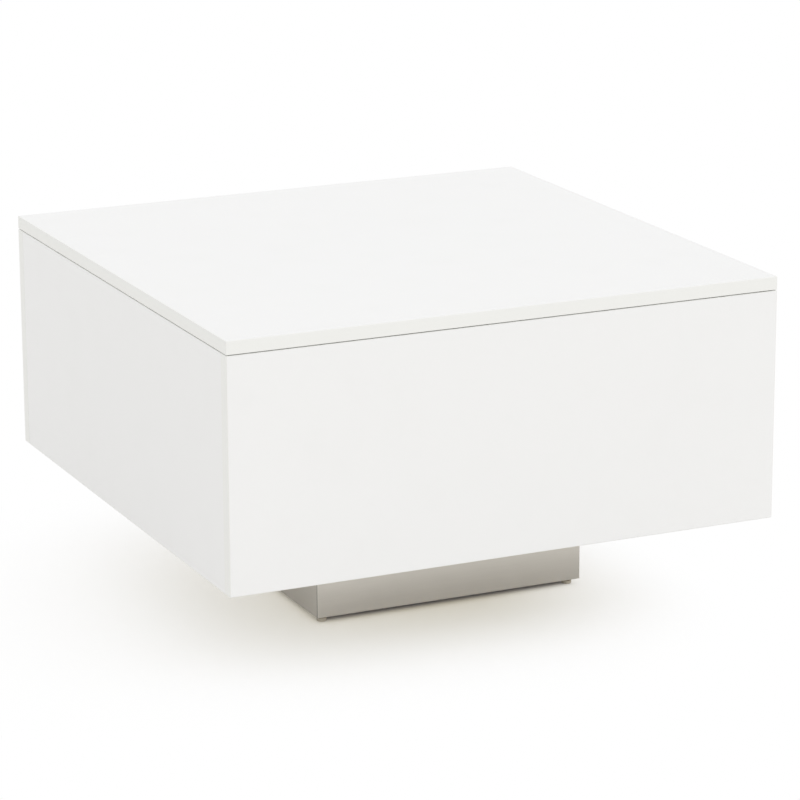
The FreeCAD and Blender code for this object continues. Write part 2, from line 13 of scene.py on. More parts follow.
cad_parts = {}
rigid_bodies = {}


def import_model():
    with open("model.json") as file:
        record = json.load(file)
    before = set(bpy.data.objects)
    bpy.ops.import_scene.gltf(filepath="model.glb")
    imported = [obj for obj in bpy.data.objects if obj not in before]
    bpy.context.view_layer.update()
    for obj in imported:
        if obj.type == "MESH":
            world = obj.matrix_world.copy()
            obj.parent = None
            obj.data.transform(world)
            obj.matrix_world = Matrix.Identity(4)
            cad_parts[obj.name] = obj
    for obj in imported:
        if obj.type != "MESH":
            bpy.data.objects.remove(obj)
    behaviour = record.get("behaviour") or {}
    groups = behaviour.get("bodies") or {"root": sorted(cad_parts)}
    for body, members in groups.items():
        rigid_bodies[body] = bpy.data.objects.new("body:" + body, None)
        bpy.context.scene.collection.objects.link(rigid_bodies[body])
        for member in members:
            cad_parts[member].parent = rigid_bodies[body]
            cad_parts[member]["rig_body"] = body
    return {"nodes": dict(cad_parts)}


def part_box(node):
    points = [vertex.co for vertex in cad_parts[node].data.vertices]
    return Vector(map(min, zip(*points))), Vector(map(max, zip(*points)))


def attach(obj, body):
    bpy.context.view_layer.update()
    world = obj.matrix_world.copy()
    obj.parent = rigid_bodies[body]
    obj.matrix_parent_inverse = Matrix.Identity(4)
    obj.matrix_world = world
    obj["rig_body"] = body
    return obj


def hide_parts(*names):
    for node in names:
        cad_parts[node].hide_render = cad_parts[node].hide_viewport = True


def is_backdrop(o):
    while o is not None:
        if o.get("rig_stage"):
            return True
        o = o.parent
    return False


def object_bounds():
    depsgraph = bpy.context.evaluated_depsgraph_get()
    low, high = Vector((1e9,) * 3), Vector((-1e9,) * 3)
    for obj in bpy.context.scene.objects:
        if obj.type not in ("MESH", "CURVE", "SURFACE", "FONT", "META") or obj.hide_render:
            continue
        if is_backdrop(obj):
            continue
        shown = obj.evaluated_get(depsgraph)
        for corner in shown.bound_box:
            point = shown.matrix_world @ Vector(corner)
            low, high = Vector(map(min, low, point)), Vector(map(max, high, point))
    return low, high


bl_info = {
    "name": "Square storage coffee table",
    "version": (1, 0, 0),
    "blender": (4, 5, 0),
    "location": "3D View > Sidebar > Coffee table",
    "description": "Finishes, fittings and stage of a white coffee table with a lift-up lid",
    "category": "Object",
}

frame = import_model()
cad_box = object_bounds()

NODES = frame["nodes"]
SIDES = ("front", "back", "left", "right")
ORIGIN = (0.0, 0.0, 0.0)
BLACK = (0.0, 0.0, 0.0, 1.0)
WHITE = (1.0, 1.0, 1.0, 1.0)

# Points nearer than the weld are one point, and a limit that is far lies outside the whole table
WELD = 1e-6
FAR = 10.0

# Faces this close to level with each other are one flat, past the sharp angle they keep a crisp edge between
# them, and past the crease angle that edge is rounded
FLAT_ANGLE = math.radians(0.5)
SHARP_ANGLE = math.radians(32)
CREASE_ANGLE = math.radians(50)

# Faces across a rounded edge, and steps up a glide's foot and a dome
ARRIS_STEPS = 3
FOOT_STEPS = 5
DOME_STEPS = 6


# Properties


def colour_of(name, description, default):
    """A colour property."""
    return FloatVectorProperty(
        name=name, description=description, subtype="COLOR", size=4, min=0.0, max=1.0, default=(*default, 1.0)
    )


def length_of(name, description, default):
    """A length property in metres."""
    return FloatProperty(
        name=name, description=description, unit="LENGTH", min=0.0, precision=6, default=default
    )


def vector_of(name, description, default, subtype="TRANSLATION"):
    """A property of three numbers."""
    return FloatVectorProperty(name=name, description=description, subtype=subtype, size=3, default=default)


def share_of(name, description, default, high=1.0):
    """A plain number property from zero up."""
    return FloatProperty(name=name, description=description, min=0.0, max=high, default=default)


def angle_of(name, description, degrees):
    """An angle property given in degrees."""
    return FloatProperty(name=name, description=description, subtype="ANGLE", default=math.radians(degrees))


class BoardFinish(bpy.types.PropertyGroup):
    """Finish of the white melamine boards."""

    face_colour: colour_of("Face colour", "Colour of the boards' faces", (0.9, 0.9, 0.895))
    band_colour: colour_of("Band colour", "Colour of the edge bands", (0.88, 0.882, 0.857))
    seam_colour: colour_of("Seam colour", "Colour of the glue line beside a band", (0.62, 0.61, 0.58))
    seam_share: share_of("Seam share", "How far the glue line takes its own colour", 0.5)
    patch_tint: colour_of("Patch tint", "Tint of the soft patches in the white", (0.97, 0.97, 0.965))
    roughness: share_of("Roughness", "Roughness of the satin face", 0.46)
    roughness_spread: share_of("Roughness spread", "How far the face's roughness varies", 0.1)
    band_width: length_of("Band width", "Thickness of an edge band", 0.0008)
    seam_width: length_of("Seam width", "Width of the glue line", 0.00012)
    grain_size: length_of("Grain size", "Size of the face's fine pearl grain", 0.0007)
    grain_depth: length_of("Grain depth", "Relief of the pearl grain", 0.00002)
    patch_size: length_of("Patch size", "Size of the soft patches in the white", 0.06)


class PlinthFinish(bpy.types.PropertyGroup):
    """Finish of the plinth's facing sheets and cores."""

    metal_colour: colour_of("Metal colour", "Colour of the brushed face", (0.702, 0.67, 0.61))
    edge_colour: colour_of("Edge colour", "Colour of a sheet's cut edge", (0.022, 0.02, 0.017))
    roughness: share_of("Roughness", "Roughness of the brushed face", 0.36)
    roughness_spread: share_of("Roughness spread", "How far the brushed face's roughness varies", 0.16)
    line_width: length_of("Line width", "Width of a fine brush line", 0.00035)
    line_length: length_of("Line length", "Length of a fine brush line", 0.045)
    line_depth: length_of("Line depth", "Relief of the fine brush lines", 0.000015)
    broad_width: length_of("Broad width", "Width of a broad brush line", 0.0042)
    broad_length: length_of("Broad length", "Length of a broad brush line", 0.27)
    arris: length_of("Arris", "Rounding of a sheet's edges", 0.00012)
    chip_colour: colour_of("Chip colour", "Light chips of the raw core", (0.66, 0.52, 0.35))
    chip_shade: colour_of("Chip shade", "Dark chips of the raw core", (0.36, 0.25, 0.14))
    chip_size: length_of("Chip size", "Thickness of a chip", 0.0014)
    chip_length: share_of("Chip length", "Length of a chip over its thickness", 2.5, 10.0)
    chip_depth: length_of("Chip depth", "Relief of the raw core", 0.0003)


class FittingSizes(bpy.types.PropertyGroup):
    """Sizes and colours of the turned and pressed fittings."""

    segments: IntProperty(name="Segments", description="Sides of a turned piece", min=12, max=96, default=40)
    shank_share: share_of("Shank share", "A screw's shank, as a share of its head", 0.5)
    screw_rim: length_of("Screw rim", "Straight rim of a countersunk head", 0.0002)
    key_width: share_of("Key width", "Width of a screw's key, as a share of its head's radius", 0.34)
    key_length: share_of("Key length", "Length of a screw's key, as a share of its head's radius", 1.2, 2.0)
    key_depth: share_of("Key depth", "Depth of a screw's key, as a share of its countersink", 0.7)
    cap_height: length_of("Cap height", "Height of a cover cap", 0.0012)
    cap_dome: length_of("Cap dome", "How far a cap's rim lies below its middle", 0.0005)
    cap_stub: length_of("Cap stub", "Radius of a cam cap's stub", 0.0014)
    glide_round: length_of("Glide rounding", "Rounding of a glide's foot", 0.001)
    glide_neck: length_of("Glide neck", "Radius of a glide's neck", 0.003)
    glide_neck_height: length_of("Glide neck height", "Height of a glide's neck", 0.0035)
    nail_pocket: length_of("Nail pocket", "Radius of the pocket under a glide", 0.0027)
    nail_seat: length_of("Nail seat", "Depth of the pocket under a glide", 0.0022)
    nail_head: length_of("Nail head", "Height of a nail's head", 0.001)
    nail_shank: length_of("Nail shank", "Radius of a nail", 0.001)
    stay_pin: length_of("Stay pin", "Radius of the rivets and studs in the stays", 0.003)
    rivet_head: length_of("Rivet head", "Height of a rivet's head", 0.0015)
    stud_head: length_of("Stud head", "Height of a stud's head", 0.002)
    stud_shoulder: length_of("Stud shoulder", "Length of a stud's shoulder", 0.0025)
    stud_collar: length_of("Stud collar", "Length of a stud's collar", 0.00275)
    stud_collar_radius: length_of("Stud collar radius", "Radius of a stud's collar", 0.005)
    stud_thread: length_of("Stud thread", "Radius of a stud's thread", 0.0025)
    plate_arris: length_of("Plate arris", "Rounding of the stays' pressed plates", 0.00035)
    block_arris: length_of("Block arris", "Rounding of the corner blocks", 0.0012)
    zinc_colour: colour_of("Zinc colour", "Colour of zinc-plated steel", (0.66, 0.665, 0.67))
    nickel_colour: colour_of("Nickel colour", "Colour of nickel-plated steel", (0.63, 0.61, 0.58))
    plastic_colour: colour_of("Plastic colour", "Colour of the moulded caps", (0.8, 0.785, 0.74))
    glide_colour: colour_of("Glide colour", "Colour of the moulded glides", (0.6, 0.55, 0.45))
    pad_colour: colour_of("Pad colour", "Colour of the soft bumpers", (0.78, 0.78, 0.75))
    beech_colour: colour_of("Beech colour", "Light colour of the beech", (0.66, 0.46, 0.29))
    beech_shade: colour_of("Beech shade", "Dark colour of the beech's grain", (0.5, 0.32, 0.18))


class StageSettings(bpy.types.PropertyGroup):
    """Floor, light and camera."""

    floor_size: length_of("Floor size", "Side of the floor", 40.0)
    floor_drop: length_of("Floor drop", "How far the floor lies under the glides", 0.0002)
    floor_colour: colour_of("Floor colour", "Colour of the light from the floor", (0.8, 0.79, 0.77))
    shadow_centre: vector_of("Shadow centre", "Middle of the shown shadow", (0.012, -0.185, 0.0))
    shadow_forth: vector_of(
        "Shadow forth", "Reach of the shown shadow to the right and the back", (0.323, 0.686, 1.0), "XYZ"
    )
    shadow_back: vector_of(
        "Shadow back", "Reach of the shown shadow to the left and the front", (0.77, 0.357, 1.0), "XYZ"
    )
    shadow_tint: colour_of("Shadow tint", "Share of the shadow that shows, by colour", (0.658, 0.694, 0.795))
    contact_start: length_of("Contact start", "How far outside the plinth the full shadow starts", 0.001)
    contact_fade: length_of("Contact fade", "Width over which the shadow becomes full", 0.0195)
    dome_strength: share_of("Dome strength", "Strength of the light from all round", 0.96, 4.0)
    key_strength: share_of("Key strength", "Strength of the soft lamp", 0.5, 10.0)
    key_spread: angle_of("Key spread", "Apparent size of the soft lamp", 70.0)
    key_turn: angle_of("Key turn", "Turn of the soft lamp from the front towards the right", 35.0)
    key_rise: angle_of("Key rise", "Height of the soft lamp above the floor", 15.0)
    camera_place: vector_of("Camera place", "Where the camera stands", (-1.7601, -3.8618, 1.392))
    camera_yaw: angle_of("Camera yaw", "Turn of the view from +Y towards +X", 24.767)
    camera_pitch: angle_of("Camera pitch", "How far the view looks down", 15.587)
    camera_roll: angle_of("Camera roll", "Tilt of the view about its own line", -0.226)
    camera_lens: FloatProperty(
        name="Camera lens", description="Focal length in mm", subtype="DISTANCE_CAMERA", default=160.21
    )


class CoffeeTable(bpy.types.PropertyGroup):
    """Everything that a user would change."""

    boards: PointerProperty(type=BoardFinish)
    plinth: PointerProperty(type=PlinthFinish)
    fittings: PointerProperty(type=FittingSizes)
    stage: PointerProperty(type=StageSettings)


# Node tools


def label_of(word):
    """A socket's name from a Python name."""
    return word.replace("_", " ").title().replace("Ior", "IOR")


def feed(tree, value, slot):
    """Link a wire to an input, or set the input's own value."""
    if isinstance(value, Wire):
        tree.links.new(value.socket, slot)
    else:
        slot.default_value = value


def node(tree, kind, inputs=None, **settings):
    """A new node with its settings made and its inputs linked or set."""
    made = tree.nodes.new(kind)
    for name, value in settings.items():
        setattr(made, name, value)
    for key, value in (inputs or {}).items():
        feed(tree, value, made.inputs[key])
    return made


def wire(tree, made, key=0):
    """One output of a node."""
    return Wire(tree, made.outputs[key])


def result(tree, kind, inputs=None, output=0, **settings):
    """One output of a new node."""
    return wire(tree, node(tree, kind, inputs, **settings), output)


def sum_of(tree, operation, *values):
    """The result of one Math node."""
    return result(tree, "ShaderNodeMath", dict(enumerate(values)), operation=operation)


class Wire:
    """An output socket that does sums: each one adds a Math node to its tree."""

    def __init__(self, tree, socket):
        self.tree = tree
        self.socket = socket

    def __add__(self, other):
        return sum_of(self.tree, "ADD", self, other)

    def __sub__(self, other):
        return sum_of(self.tree, "SUBTRACT", self, other)

    def __rsub__(self, other):
        return sum_of(self.tree, "SUBTRACT", other, self)

    def __mul__(self, other):
        return sum_of(self.tree, "MULTIPLY", self, other)

    def __truediv__(self, other):
        return sum_of(self.tree, "DIVIDE", self, other)

    def __rtruediv__(self, other):
        return sum_of(self.tree, "DIVIDE", other, self)

    def clamped(self):
        return result(self.tree, "ShaderNodeClamp", {0: self})


FLOAT = "NodeSocketFloat"
VECTOR = "NodeSocketVector"
MATERIAL = "NodeSocketMaterial"
INTEGER = "NodeSocketInt"
GEOMETRY = "NodeSocketGeometry"

# Sockets of a Mix node between two colours
FACTOR = 0
FIRST_COLOUR = 6
SECOND_COLOUR = 7
MIXED_COLOUR = 2


def group_tree(name, kind, inputs, outputs):
    """A node group with these sockets: the tree, its inputs as wires by name, and its output node."""
    tree = bpy.data.node_groups.new(name, kind)
    for label, socket_type in inputs.items():
        tree.interface.new_socket(label, in_out="INPUT", socket_type=socket_type)
    for label, socket_type in outputs.items():
        tree.interface.new_socket(label, in_out="OUTPUT", socket_type=socket_type)
    entry = tree.nodes.new("NodeGroupInput")
    given = {label: wire(tree, entry, label) for label in inputs}
    return tree, given, tree.nodes.new("NodeGroupOutput")


def mixed(tree, factor, first, second, **settings):
    """A colour between two colours."""
    inputs = {FACTOR: factor, FIRST_COLOUR: first, SECOND_COLOUR: second}
    return result(tree, "ShaderNodeMix", inputs, MIXED_COLOUR, data_type="RGBA", **settings)


def noise(tree, place, scale, detail=2.0):
    """A noise value from 0 to 1."""
    return result(tree, "ShaderNodeTexNoise", {"Vector": place, "Scale": scale, "Detail": detail})


def eased(tree, value, none, full):
    """A smooth step from 0 at one value to 1 at another."""
    inputs = {"Value": value, "From Min": none, "From Max": full}
    return result(tree, "ShaderNodeMapRange", inputs, interpolation_type="SMOOTHSTEP")


def parted(tree, place):
    """The three parts of a vector."""
    made = node(tree, "ShaderNodeSeparateXYZ", {0: place})
    return [wire(tree, made, index) for index in range(3)]


def vector_sum(tree, operation, *values):
    """The result of one Vector Math node."""
    return result(tree, "ShaderNodeVectorMath", dict(enumerate(values)), operation=operation)


def shared(first, second, share):
    """Two masks added up, the first by its share and the second by the rest."""
    return first * share + second * (1.0 - share)


def tinted(colour, brightness):
    """A colour made lighter or darker."""
    return tuple(min(1.0, part * brightness) for part in colour)


# Shared effects, each built when it is first used


@functools.cache
def mottle_group():
    """Fine grain and soft patches over a surface."""
    tree, given, put = group_tree(
        "Mottle",
        "ShaderNodeTree",
        {"Place": VECTOR, "Grain Size": FLOAT, "Patch Size": FLOAT},
        {"Grain": FLOAT, "Patches": FLOAT},
    )
    feed(tree, noise(tree, given["Place"], 1.0 / given["Grain Size"], detail=3.0), put.inputs["Grain"])
    feed(tree, noise(tree, given["Place"], 1.0 / given["Patch Size"]), put.inputs["Patches"])
    return tree


@functools.cache
def drawn_lines_group():
    """Lines drawn out along the level or the upright, as brushing or wood grain."""
    tree, given, put = group_tree(
        "Drawn lines",
        "ShaderNodeTree",
        {"Place": VECTOR, "Level Size": FLOAT, "Upright Size": FLOAT},
        {"Lines": FLOAT},
    )
    x, y, z = parted(tree, given["Place"])
    level = given["Level Size"]
    parts = {0: (x + y) / level, 1: z / given["Upright Size"], 2: (x - y) / level}
    spread = result(tree, "ShaderNodeCombineXYZ", parts)
    feed(tree, noise(tree, spread, scale=1.0, detail=4.0), put.inputs["Lines"])
    return tree


@functools.cache
def edge_band_group():
    """Masks of a board's banded edges and of the glue line beside each band."""
    tree, given, put = group_tree(
        "Edge band",
        "ShaderNodeTree",
        {"Place": VECTOR, "Low": VECTOR, "High": VECTOR, "Band Width": FLOAT, "Seam Width": FLOAT},
        {"Band": FLOAT, "Seam": FLOAT},
    )
    from_low = vector_sum(tree, "SUBTRACT", given["Place"], given["Low"])
    from_high = vector_sum(tree, "SUBTRACT", given["High"], given["Place"])
    x, y, z = parted(tree, vector_sum(tree, "MINIMUM", from_low, from_high))
    inset = sum_of(tree, "MINIMUM", sum_of(tree, "MINIMUM", x, y), z)
    past = inset - given["Band Width"]
    feed(tree, sum_of(tree, "LESS_THAN", past, 0.0), put.inputs["Band"])
    seam = 1.0 - sum_of(tree, "ABSOLUTE", past) / given["Seam Width"]
    feed(tree, seam.clamped(), put.inputs["Seam"])
    return tree


# Finishes


class Finish:
    """A material with one Principled shader that reads Object coordinates."""

    def __init__(self, name, **sockets):
        self.material = bpy.data.materials.new(name)
        self.material.use_nodes = True
        self.tree = self.material.node_tree
        self.shader = self.tree.nodes["Principled BSDF"]
        for word, value in sockets.items():
            self.set(label_of(word), value)
        self.place = result(self.tree, "ShaderNodeTexCoord", output="Object")

    def set(self, label, value):
        """Link or set one of the shader's inputs."""
        feed(self.tree, value, self.shader.inputs[label])

    def effect(self, group, **inputs):
        """A shared effect on this material's surface, with its outputs as wires by name."""
        named = {label_of(word): value for word, value in inputs.items()}
        made = node(self.tree, "ShaderNodeGroup", {"Place": self.place, **named}, node_tree=group())
        return {socket.name: Wire(self.tree, socket) for socket in made.outputs}

    def lines(self, level, upright):
        """A mask of lines of this length and width along the level and the upright."""
        return self.effect(drawn_lines_group, level_size=level, upright_size=upright)["Lines"]

    def mix(self, factor, first, second, **settings):
        """A colour between two colours."""
        return mixed(self.tree, factor, first, second, **settings)

    def rough(self, middle, *parts):
        """Vary the roughness about its middle, by the spread that goes with each mask."""
        roughness = middle - sum(spread for _, spread in parts) / 2
        for mask, spread in parts:
            roughness = mask * spread + roughness
        self.set("Roughness", roughness)

    def bump(self, height, depth):
        """Raise the surface by a height that runs from 0 to 1."""
        inputs = {"Height": height, "Distance": depth, "Strength": 1.0}
        self.set("Normal", result(self.tree, "ShaderNodeBump", inputs))


def white_board(name, options, bands=None):
    """Satin melamine, with edge bands on the sides that the two corners in bands bound, if any."""
    made = Finish(name)
    mottle = made.effect(mottle_group, grain_size=options.grain_size, patch_size=options.patch_size)
    colour = options.face_colour
    if bands:
        widths = {"band_width": options.band_width, "seam_width": options.seam_width}
        band = made.effect(edge_band_group, low=bands[0], high=bands[1], **widths)
        colour = made.mix(band["Band"], colour, options.band_colour)
        colour = made.mix(band["Seam"] * options.seam_share, colour, options.seam_colour)
    noise_middle = 0.5
    tone = made.mix((mottle["Patches"] - noise_middle).clamped(), WHITE, options.patch_tint)
    made.set("Base Color", made.mix(1.0, colour, tone, blend_type="MULTIPLY"))
    made.rough(options.roughness, (mottle["Grain"], options.roughness_spread))
    made.bump(mottle["Grain"], options.grain_depth)
    return made.material


def raw_core(options):
    """Raw chipboard: small bent flakes of uneven colour, lying level or upright, among fine dust."""
    made = Finish("raw_chipboard", roughness=0.85)
    tree = made.tree
    size = options.chip_size
    dust_size = size / 5
    bend_size = size / 2
    bundle_size = size * 2
    mottle = made.effect(mottle_group, grain_size=dust_size, patch_size=bundle_size)
    wander = result(tree, "ShaderNodeTexNoise", {"Vector": made.place, "Scale": 1.0 / bend_size}, "Color")
    bent = vector_sum(tree, "ADD", made.place, vector_sum(tree, "MULTIPLY", wander, (size, size, size)))
    squeeze = 1.0 / options.chip_length
    flakes = []
    for lie in ((squeeze, squeeze, 1.0), (1.0, 1.0, squeeze)):
        stretched = vector_sum(tree, "MULTIPLY", bent, lie)
        cells = result(tree, "ShaderNodeTexVoronoi", {"Vector": stretched, "Scale": 1.0 / size}, "Color")
        flakes.append(result(tree, "ShaderNodeSeparateColor", {0: cells}))
    level, upright = flakes
    flake = level + (upright - level) * eased(tree, mottle["Patches"], none=0.45, full=0.55)
    amount = shared(flake, mottle["Grain"], share=0.6)
    made.set("Base Color", made.mix(amount, options.chip_colour, options.chip_shade))
    made.bump(amount, options.chip_depth)
    return made.material


def brushed_facing(options):
    """Satin metal brushed along the plinth."""
    made = Finish("brushed_facing", metallic=1.0)
    fine = made.lines(level=options.line_length, upright=options.line_width)
    broad = made.lines(level=options.broad_length, upright=options.broad_width)
    lines = shared(fine, broad, share=0.7)
    light = tinted(options.metal_colour, brightness=1.06)
    dark = tinted(options.metal_colour, brightness=0.93)
    made.set("Base Color", made.mix(lines, dark, light))
    made.rough(options.roughness, (lines, options.roughness_spread))
    made.bump(fine, options.line_depth)
    return made.material


def facing_edge(options):
    """Dark core of a facing sheet where it is cut."""
    made = Finish("facing_edge", roughness=0.85, specular_ior_level=0.2)
    lines = made.lines(level=0.0004, upright=0.004)
    light = tinted(options.edge_colour, brightness=1.5)
    made.set("Base Color", made.mix(lines, options.edge_colour, light))
    made.bump(lines, depth=0.00005)
    return made.material


def plated(name, colour, roughness, grain_size):
    """Plated steel with a faint matt grain and cloudy patches."""
    made = Finish(name, metallic=1.0)
    mottle = made.effect(mottle_group, grain_size=grain_size, patch_size=grain_size * 25)
    grain_spread = 0.14
    patch_spread = 0.1
    made.set("Base Color", made.mix(mottle["Patches"], colour, tinted(colour, brightness=0.86)))
    made.rough(roughness, (mottle["Grain"], grain_spread), (mottle["Patches"], patch_spread))
    made.bump(mottle["Grain"], depth=0.00001)
    return made.material


def moulded(name, colour, roughness, coat=0.0):
    """Moulded plastic with a fine spark-eroded skin."""
    made = Finish(name, coat_weight=coat)
    mottle = made.effect(mottle_group, grain_size=0.00035, patch_size=0.006)
    grain_spread = 0.12
    made.set("Base Color", made.mix(mottle["Patches"], colour, tinted(colour, brightness=0.95)))
    made.rough(roughness, (mottle["Grain"], grain_spread))
    made.bump(mottle["Grain"], depth=0.00002)
    return made.material


def beech(options):
    """Beech with short flecks along its upright grain."""
    made = Finish("beech", roughness=0.6)
    grain = made.lines(level=0.0009, upright=0.02)
    fleck = made.lines(level=0.0005, upright=0.003)
    amount = shared(grain, fleck, share=0.7)
    made.set("Base Color", made.mix(amount, options.beech_colour, options.beech_shade))
    made.bump(amount, depth=0.0001)
    return made.material


class Finishes:
    """The fittings' materials by slot, each built when it is first used."""

    built = {}

    @classmethod
    def get(cls, slot, options):
        makers = {
            "zinc": lambda: plated("bright_zinc", options.zinc_colour, roughness=0.34, grain_size=0.0004),
            "nickel": lambda: plated("satin_nickel", options.nickel_colour, roughness=0.4, grain_size=0.0003),
            "white_plastic": lambda: moulded("moulded_plastic", options.plastic_colour, roughness=0.45),
            "glide_plastic": lambda: moulded("beige_plastic", options.glide_colour, roughness=0.4),
            "bumper_pad": lambda: moulded("soft_pad", options.pad_colour, roughness=0.35, coat=0.4),
            "beech": lambda: beech(options),
        }
        if slot not in cls.built:
            cls.built[slot] = makers[slot]()
        return cls.built[slot]


def dress(names, material):
    """Give CAD nodes that keep their shape a better material."""
    for name in names:
        piece = NODES[name]
        if not piece.material_slots:
            piece.data.materials.append(material)
        for slot in piece.material_slots:
            slot.material = material


# Piece tools


def linked(name, data):
    """A new object at the origin."""
    made = bpy.data.objects.new(name, data)
    bpy.context.scene.collection.objects.link(made)
    return made


def stands_for(piece, name, slot):
    """A piece takes a CAD node's place on the same body."""
    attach(piece, NODES[name]["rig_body"])
    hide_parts(name)


def smoothed(mesh):
    """Smooth faces, with every edge past the sharp angle kept crisp."""
    mesh.shade_smooth()
    mesh.set_sharp_from_angle(angle=SHARP_ANGLE)


def welded(mesh):
    """A mesh opened for building, with its doubled points merged."""
    built = bmesh.new()
    built.from_mesh(mesh)
    bmesh.ops.remove_doubles(built, verts=built.verts, dist=WELD)
    return built


def rounded(built, edges, arris):
    """Round some edges of a mesh that is being built."""
    bmesh.ops.bevel(built, geom=edges, offset=arris, segments=ARRIS_STEPS, profile=0.5, affect="EDGES")


def closed(built, mesh):
    """Write what was built to a mesh, and smooth it."""
    built.to_mesh(mesh)
    built.free()
    smoothed(mesh)
    return mesh


def corner_clusters(name):
    """The corner points of each separate solid in a CAD node."""
    solids = welded(NODES[name].data)
    seen = set()
    clusters = []
    for first in solids.verts:
        if first in seen:
            continue
        seen.add(first)
        cluster = [first]
        for corner in cluster:
            for edge in corner.link_edges:
                other = edge.other_vert(corner)
                if other not in seen:
                    seen.add(other)
                    cluster.append(other)
        clusters.append([corner.co.copy() for corner in cluster])
    solids.free()
    return clusters


class TurnedSolid:
    """Where a turned solid of a CAD node starts, at its wider end, and which way it runs."""

    def __init__(self, corners, pick):
        low = Vector(map(min, zip(*corners)))
        high = Vector(map(max, zip(*corners)))
        size = high - low
        run = list(size).index(pick(size))
        middle = (low + high) / 2
        ends = []
        for level in (low[run], high[run]):
            rim = [corner - middle for corner in corners if abs(corner[run] - level) < WELD]
            reach = max(math.hypot(*(arm[axis] for axis in range(3) if axis != run)) for arm in rim)
            ends.append((round(reach, 6), level))
        wide, narrow = sorted(ends, reverse=True)
        self.start = middle
        self.start[run] = wide[1]
        self.axis = Vector()
        self.axis[run] = math.copysign(1.0, narrow[1] - wide[1])
        self.length = size[run]
        self.radius = max(size[axis] for axis in range(3) if axis != run) / 2


# Turned fittings in Geometry Nodes


def picked(tree, index, values):
    """The value at an index."""
    switch = node(tree, "GeometryNodeIndexSwitch", data_type="FLOAT")
    while len(switch.index_switch_items) < len(values):
        switch.index_switch_items.new()
    feed(tree, index, switch.inputs[0])
    for place, value in enumerate(values):
        feed(tree, value, switch.inputs[place + 1])
    return wire(tree, switch)


def revolved(tree, outline, segments):
    """A closed mesh turned about Z from (radius, height) pairs that start and end on the axis."""
    columns = segments + 1
    sheet = result(tree, "GeometryNodeMeshGrid", {"Vertices X": len(outline), "Vertices Y": columns})
    index = result(tree, "GeometryNodeInputIndex")
    half_step = 0.5
    row = sum_of(tree, "FLOOR", (index + half_step) / columns)
    turn = (index - row * columns) * math.tau / segments
    radius = picked(tree, row, [pair[0] for pair in outline])
    height = picked(tree, row, [pair[1] for pair in outline])
    across = radius * sum_of(tree, "COSINE", turn)
    along = radius * sum_of(tree, "SINE", turn)
    place = result(tree, "ShaderNodeCombineXYZ", {0: across, 1: along, 2: height})
    moved = result(tree, "GeometryNodeSetPosition", {"Geometry": sheet, "Position": place})
    merged = result(tree, "GeometryNodeMergeByDistance", {"Geometry": moved, "Distance": WELD})
    return result(tree, "GeometryNodeFlipFaces", {"Mesh": merged})


def keyed(tree, body, width, length, depth):
    """A body with a cross key cut into its face at zero height."""
    bars = node(tree, "GeometryNodeJoinGeometry")
    for sides in ((length, width), (width, length)):
        size = result(tree, "ShaderNodeCombineXYZ", {0: sides[0], 1: sides[1], 2: depth * 2})
        feed(tree, result(tree, "GeometryNodeMeshCube", {"Size": size}), bars.inputs[0])
    cut = node(tree, "GeometryNodeMeshBoolean", {"Mesh 1": body}, operation="DIFFERENCE", solver="EXACT")
    feed(tree, True, cut.inputs["Self Intersection"])
    feed(tree, wire(tree, bars), cut.inputs["Mesh 2"])
    return wire(tree, cut)


def sizes_of(shape):
    """The names of the sizes that a shape is made from, which are its own parameters."""
    return list(inspect.signature(shape).parameters)


def shaped(shape, given):
    """A shape made from a tree's inputs."""
    return shape(*(given[label_of(word)] for word in sizes_of(shape)))


@functools.cache
def turned_tree(outline, key):
    """A tree that turns an outline about each point's axis, and cuts a key, if any, into its face."""
    words = sizes_of(outline) + (sizes_of(key) if key else [])
    sizes = {label_of(word): FLOAT for word in words}
    inputs = {"Points": GEOMETRY, **sizes, "Segments": INTEGER, "Finish": MATERIAL}
    name = label_of(outline.__name__)
    tree, given, put = group_tree(name, "GeometryNodeTree", inputs, {"Geometry": GEOMETRY})
    body = revolved(tree, shaped(outline, given), given["Segments"])
    if key:
        body = keyed(tree, body, *shaped(key, given))
    axis = result(tree, "GeometryNodeInputNamedAttribute", {"Name": "axis"}, data_type="FLOAT_VECTOR")
    aim = result(tree, "FunctionNodeAlignRotationToVector", {"Vector": axis}, axis="Z")
    spread = {"Points": given["Points"], "Instance": body, "Rotation": aim}
    copies = result(tree, "GeometryNodeInstanceOnPoints", spread)
    real = result(tree, "GeometryNodeRealizeInstances", {"Geometry": copies})
    coloured = {"Geometry": real, "Material": given["Finish"]}
    feed(tree, result(tree, "GeometryNodeSetMaterial", coloured), put.inputs[0])
    return tree


